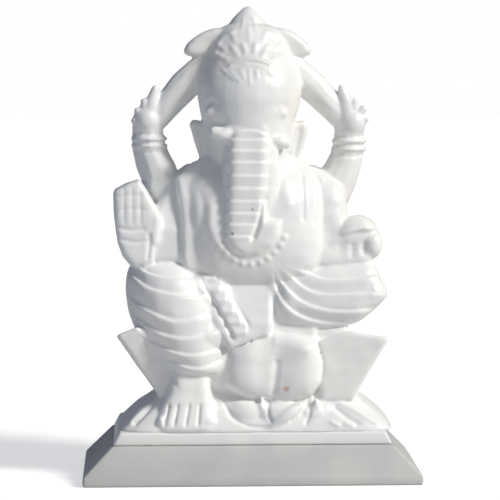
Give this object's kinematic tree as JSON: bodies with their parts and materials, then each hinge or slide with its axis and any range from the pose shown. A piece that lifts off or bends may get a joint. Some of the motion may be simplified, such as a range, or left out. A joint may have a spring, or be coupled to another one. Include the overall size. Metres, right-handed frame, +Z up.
{
  "type": "seated ganesha idol",
  "caption": "Carved white marble Ganesha idol, seated on a lotus over a stepped plinth, with raised rear arms, ringed trunk, blessing hand and bowl of sweets.",
  "frame": {"origin": "centre of the plinth's flat underside", "axes": "+Z up, the idol faces -Y, its left side is towards +X"},
  "size_m": [0.1076, 0.052, 0.1508],
  "materials": {
    "marble": "hand-polished white marble with faint warm and grey veins"
  },
  "bodies": {
    "root": {"arm_front_left": "marble", "arm_front_right": "marble", "arm_rear_left": "marble", "arm_rear_right": "marble", "bracelet_left": "marble", "bracelet_right": "marble", "brow_ornament": "marble", "bud_left": "marble", "bud_right": "marble", "crown_band": "marble", "crown_peak": "marble", "crown_tier": "marble", "ear_left": "marble", "ear_right": "marble", "foot_right": "marble", "front_petal_left": "marble", "front_petal_right": "marble", "garland": "marble", "hand_front_left": "marble", "hand_front_right": "marble", "hand_rear_left": "marble", "hand_rear_right": "marble", "head": "marble", "leg_left": "marble", "leg_right": "marble", "lotus_base": "marble", "lotus_seat": "marble", "mouse": "marble", "plinth": "marble", "plinth_slab": "marble", "sash": "marble", "seat_petal_left": "marble", "seat_petal_right": "marble", "shawl_left": "marble", "shawl_right": "marble", "stalk_left": "marble", "stalk_right": "marble", "sweet_bowl": "marble", "sweets": "marble", "torso": "marble", "trunk": "marble", "tusk_left": "marble", "tusk_right": "marble", "waist_cloth": "marble"}
  },
  "joints": []
}
